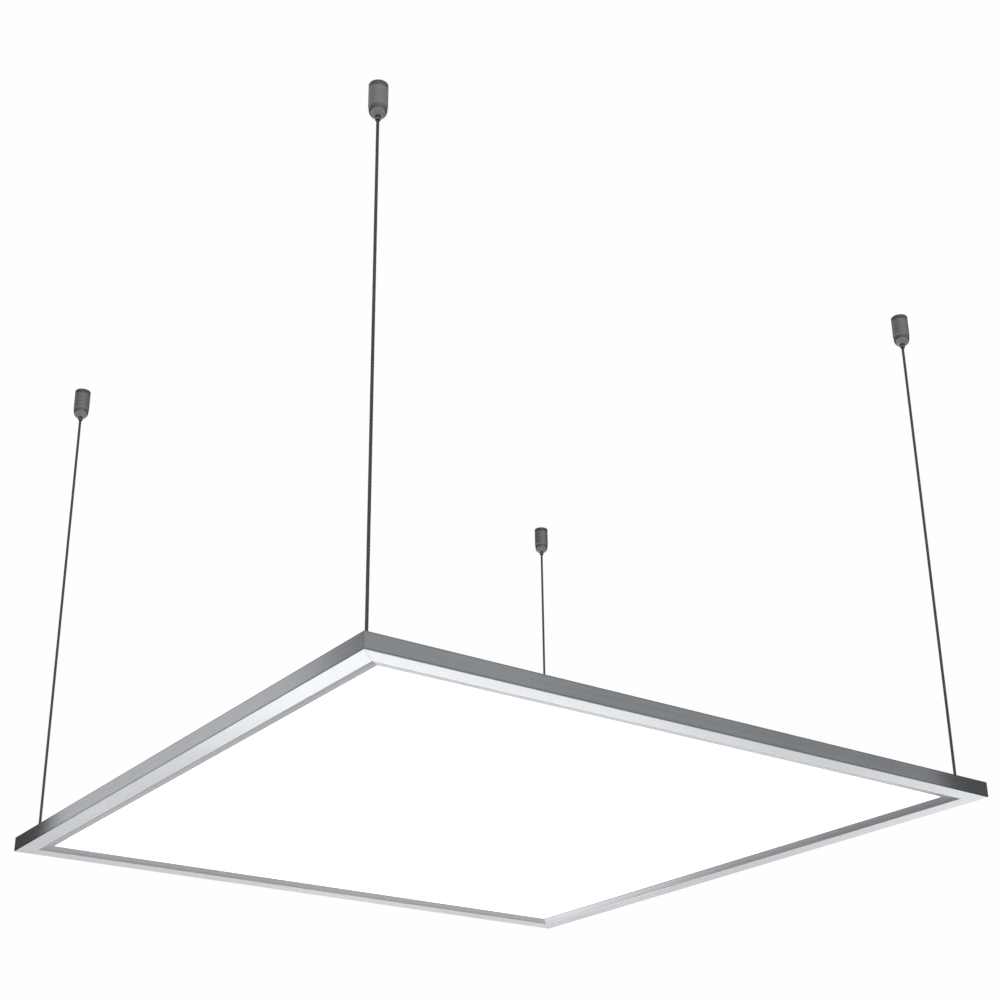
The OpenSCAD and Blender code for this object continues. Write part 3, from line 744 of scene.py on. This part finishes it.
BACKDROP = 0.99
FLOOR_Z = -1.35
FLOOR_HALF = 60.0
FLOOR_FADE = (3.5, 12.0)  # the distance over which the floor turns into the backdrop
BLACK = (0.0, 0.0, 0.0)
WHITE = (BACKDROP, BACKDROP, BACKDROP)
CARD_Z = -1.34
CARD_LEAST = 0.52  # the darkest that a spot makes a card
FLOOR_CARD_LEVEL = 0.60
FLOOR_CARD_REACH = (-2, 9)  # lowest and highest x and y
# Each spot: place, size along x and y, share of the size with the full amount, amount.
FLOOR_SPOTS = [((0.75, 0.5, 0), (1.25, 1.1), 0.7, -2.0), ((0.95, 1.72, 0), (1.7, 0.5), 0, 2.6),
               ((2.75, 1.6, 0), (0.6, 0.5), 0, 2.2), ((0.75, 2.6, 0), (0.8, 0.8), 0.2, -0.4),
               ((1.6, 3.8, 0), (1.8, 1.0), 0, 0.5)]
# Each upright card: start and end on the plan, lowest and highest point, brightness.
SIDE_CARDS = {"flag_left": ((-0.298, 0.300), (-0.332, 0.300), -0.49, -0.36, 0.06),
              "flag_right": ((0.300, -0.298), (0.300, -0.345), -0.49, -0.36, 0.09),
              "strip_left": ((-0.450, 0.015), (-0.450, 0.750), -0.43, -0.24, 0.62)}
PANEL_MIDDLE = (0, 0, -0.4)
SURROUND_LEVEL = 0.13
# Each glow of the surround: direction, cosine at which it starts, amount.
SURROUND_GLOWS = (((-0.10, -0.95, 0.25), 0.1, 0.27), ((0.0, 0.1, 1.0), 0.35, 0.6))


def stage_sheet(name, corners, material):
    """A flat four-cornered sheet of the stage."""
    mesh = bpy.data.meshes.new(name)
    mesh.from_pydata(corners, [], [(0, 1, 2, 3)])
    sheet = bpy.data.objects.new(name, mesh)
    bpy.context.scene.collection.objects.link(sheet)
    mesh.materials.append(material)
    return sheet


def level_sheet(low, high, z):
    """Corners of a level square, from one x and y to another."""
    return [(low, low, z), (high, low, z), (high, high, z), (low, high, z)]


def upright(start, end, low, high):
    """Corners of an upright rectangle above a line on the plan."""
    return [(*start, low), (*end, low), (*end, high), (*start, high)]


def make_floor():
    """Pale floor that grows into the white backdrop far from the object."""
    material, tree, bsdf = shader("floor_paint", Roughness=0.75, Specular_IOR_Level=0.0,
                                  Emission_Strength=1.0)
    at = place(tree)
    tint = mixed(tree, noise(tree, at, 40, 4), (0.87, 0.87, 0.87), (0.90, 0.90, 0.90))
    far = ranged(tree, vector_maths(tree, "LENGTH", at)["Value"], *FLOOR_FADE, 0, 1)
    drive(tree, bsdf, Base_Color=mixed(tree, far, tint, BLACK), Emission_Color=mixed(tree, far, BLACK, WHITE))
    stage_sheet("floor", level_sheet(-FLOOR_HALF, FLOOR_HALF, FLOOR_Z), material)


def make_card(name, corners, level, spots=()):
    """A reflector or flag of a brightness, seen only in reflections. Each spot makes it brighter or
    darker there."""
    material, tree, bsdf = shader(name + "_surface", Specular_IOR_Level=0.0, Emission_Strength=1.0,
                                  Base_Color=(*BLACK, 1), Emission_Color=(level, level, level, 1))
    for spot, (wide, deep), core, amount in spots:
        shifted = vector_maths(tree, "SUBTRACT", place(tree), spot)[0]
        scaled = vector_maths(tree, "MULTIPLY", shifted, (1 / wide, 1 / deep, 0))[0]
        away = vector_maths(tree, "LENGTH", scaled)["Value"]
        level = maths(tree, "ADD", ranged(tree, away, core, 1, amount, 0), level)
    if spots:
        drive(tree, bsdf, Emission_Color=maths(tree, "MAXIMUM", level, CARD_LEAST))
    card = stage_sheet(name, corners, material)
    card.visible_camera = False
    card.visible_diffuse = False
    card.visible_shadow = False
    card.visible_transmission = False


def make_light(name, spot, size, power):
    """A round soft light, turned to the panel and itself unseen."""
    data = bpy.data.lights.new(name, "AREA")
    data.shape = "DISK"
    data.size = size
    data.energy = power
    light = bpy.data.objects.new(name, data)
    light.location = spot
    light.rotation_mode = "QUATERNION"
    light.rotation_quaternion = (Vector(spot) - Vector(PANEL_MIDDLE)).to_track_quat("Z", "Y")
    light.visible_camera = False
    light.visible_glossy = False
    bpy.context.scene.collection.objects.link(light)


def make_world():
    """White behind the object, and a softer grey surround that lights it, brighter in front and above."""
    world = bpy.data.worlds.new("studio")
    world.use_nodes = True
    tree = world.node_tree
    tree.nodes.clear()
    way = coordinates(tree, "Generated")
    level = SURROUND_LEVEL
    for direction, start, amount in SURROUND_GLOWS:
        aligned = vector_maths(tree, "DOT_PRODUCT", way, Vector(direction).normalized())["Value"]
        level = maths(tree, "ADD", ranged(tree, aligned, start, 1.0, 0.0, amount), level)
    surround = add(tree, "ShaderNodeBackground", {"Strength": level, "Color": (0.97, 0.985, 1.0, 1)})
    backdrop = add(tree, "ShaderNodeBackground", {"Strength": 1.0, "Color": (*WHITE, 1)})
    seen = add(tree, "ShaderNodeLightPath").outputs["Is Camera Ray"]
    both = add(tree, "ShaderNodeMixShader", {0: seen, 1: surround.outputs[0], 2: backdrop.outputs[0]})
    out = add(tree, "ShaderNodeOutputWorld")
    tree.links.new(both.outputs[0], out.inputs["Surface"])
    bpy.context.scene.world = world


make_floor()
for name, (start, end, low, high, level) in SIDE_CARDS.items():
    make_card(name, upright(start, end, low, high), level)
make_card("floor_card", level_sheet(*FLOOR_CARD_REACH, CARD_Z), FLOOR_CARD_LEVEL, FLOOR_SPOTS)
make_light("overhead", spot=(0.5, 0.8, 5.5), size=5.0, power=130)
make_light("side_key", spot=(-2.4, 1.2, 1.6), size=0.9, power=24)
make_world()
bpy.context.scene.view_settings.view_transform = "Standard"
